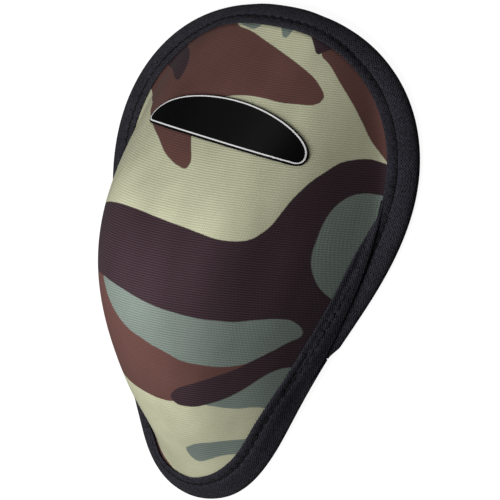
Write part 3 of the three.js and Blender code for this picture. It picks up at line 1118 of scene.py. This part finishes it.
# %% [markdown]
# The thread is a tight black twist. It is coloured darker than the tape, partly for the black of the thread
# and partly as painted shade of the needle holes and the groove, so that the seam reads as a row of short
# dark dashes.

# %% Finish of the thread
PLY_PITCH = 0.0005  # m
# painted shade: the thread is coloured near black for the shade in the needle holes and the groove
PLY_LOW, PLY_HIGH = (0.002, 0.002, 0.0025, 1), (0.008, 0.008, 0.009, 1)

twist, tree, shader = new_finish("black_thread")
ply = bands(tree, object_place(tree), PLY_PITCH, "DIAGONAL", {"Distortion": 2})
plug(tree, shader, {
    "Base Color": two_tones(tree, ply, PLY_LOW, PLY_HIGH),
    "Normal": bump(tree, ply, 0.4, 0.0001),
    "Roughness": 0.8,
    "Specular IOR Level": 0.15,
})
thread.data.materials.clear()
thread.data.materials.append(twist)
print("finish:", twist.name, "nodes:", len(tree.nodes))

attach(thread, "root")

# %% [markdown]
# ## The badge
# A half oval of black film is bonded to the upper front. Its outline could be a plain half ellipse, but the
# real one has round corners below, so the outline is half an ellipse above, and two round corners joined by
# a straight edge below.

# %% Outline of the badge
def badge_outline(angle):
    """Points of the outline by their angle, the upper half up to pi."""
    half, above, corner = BADGE["half"], BADGE["above"], BADGE["below"]
    bend, straight = corner * np.pi / 2, 2 * (half - corner)
    way = (np.mod(angle, 2 * np.pi) - np.pi) / np.pi * (2 * bend + straight)
    first = np.clip(way, 0, bend) / corner
    last = np.clip(way - bend - straight, 0, bend) / corner
    u = -half + corner * (1 - np.cos(first)) + np.clip(way - bend, 0, straight) + corner * np.sin(last)
    v = -corner * np.where(way < bend + straight, np.sin(first), np.cos(last))
    arched = way < 0
    u = np.where(arched, half * np.cos(angle), u)
    v = np.where(arched, above * np.sin(angle), v)
    return np.stack([u, v], -1)


border = badge_outline(np.linspace(0, 2 * np.pi, 3000, endpoint=False))
print("badge outline, mm:", [round(float(v), 1) for v in np.ptp(border, axis=0)])

# %% [markdown]
# The film starts as a flat grid, whose squares are drawn into rings of the outline's shape, closer together
# towards the edge. It is then laid on the cup's face, rounded over at its edge and thickened. How far each
# point lies from the edge is kept for the printed line.

# %% Badge
GRID = 72
EDGE_FINER = 1.3
FILM, FILM_THICK, FILM_OFF = 0.55, 0.6, 0.25  # mm: height, thickness, and how far it stands off the knit
EDGE_OVER = {"wide": 0.5, "share": 0.6}
FILM_SMOOTH_BELOW = math.radians(50)

bpy.ops.object.select_all(action="DESELECT")
bpy.ops.mesh.primitive_grid_add(x_subdivisions=GRID, y_subdivisions=GRID, size=2)
badge = bpy.context.object
badge.name = badge.data.name = "plain_badge"
u, v = points_of(badge)[:, :2].T
share = 1 - (1 - np.maximum(np.abs(u), np.abs(v))) ** EDGE_FINER
beside = np.pi / 4 * v / np.where(u == 0, 1, u) + np.where(u < 0, np.pi, 0)
upper = np.pi / 2 - np.pi / 4 * u / np.where(v == 0, 1, v) + np.where(v < 0, np.pi, 0)
outline = badge_outline(np.where(np.abs(u) >= np.abs(v), beside, upper))
middle = np.array([0, BADGE_MIDDLE])
flat = middle + share[:, None] * (outline - middle)
from_edge = np.array([np.hypot(*(border - p).T).min() for p in flat])
c, s = math.cos(BADGE["turn"]), math.sin(BADGE["turn"])
x = BADGE["x"] + flat[:, 0] * c - flat[:, 1] * s
y = BADGE["y"] + flat[:, 0] * s + flat[:, 1] * c
rounded = FILM * (1 - np.clip(1 - from_edge / EDGE_OVER["wide"], 0, 1) ** 2 * EDGE_OVER["share"])
face = np.stack([x, y, face_height(x, y)], -1)
move_points(badge, (face + face_normal(x, y) * (FILM_OFF + rounded)[:, None]) * MM)
keep_layer(badge, "from_edge", from_edge)
apply_modifier(badge, "SOLIDIFY", thickness=FILM_THICK * MM, offset=-1)
only(badge)
bpy.ops.object.shade_smooth_by_angle(angle=FILM_SMOOTH_BELOW)
print("badge, mm:", [round(v / MM, 1) for v in badge.dimensions], "triangles", triangles_of(badge))

# %% [markdown]
# The film is satin black with a faint orange peel, and the pale line is printed a little way in from the
# edge.

# %% Finish of the badge
LINE_STARTS, LINE_ENDS = (0.5, 0.62), (0.9, 1.02)  # mm from the edge
LINE_INK = (0.95, 0.95, 0.94, 1)
FILM_LOW, FILM_HIGH = (0.0015, 0.0015, 0.002, 1), (0.004, 0.004, 0.0045, 1)

film, tree, shader = new_finish("badge_film")
inset = add(tree, "Attribute", {}, attribute_name="from_edge").outputs["Fac"]
into, past = ranged(tree, inset, since=LINE_STARTS), ranged(tree, inset, since=LINE_ENDS)
line = calc(tree, "SUBTRACT", into, past)
peel = noise(tree, object_place(tree), 900)
plug(tree, shader, {
    "Base Color": mixed(tree, line, two_tones(tree, peel, FILM_LOW, FILM_HIGH), LINE_INK),
    "Normal": bump(tree, peel, 0.08, 0.0002),
    "Roughness": ranged(tree, peel, to=(0.36, 0.5)),
    "Specular IOR Level": 0.07,
})
badge.data.materials.append(film)
print("finish:", film.name, "nodes:", len(tree.nodes))

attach(badge, "root")
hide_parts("badge")
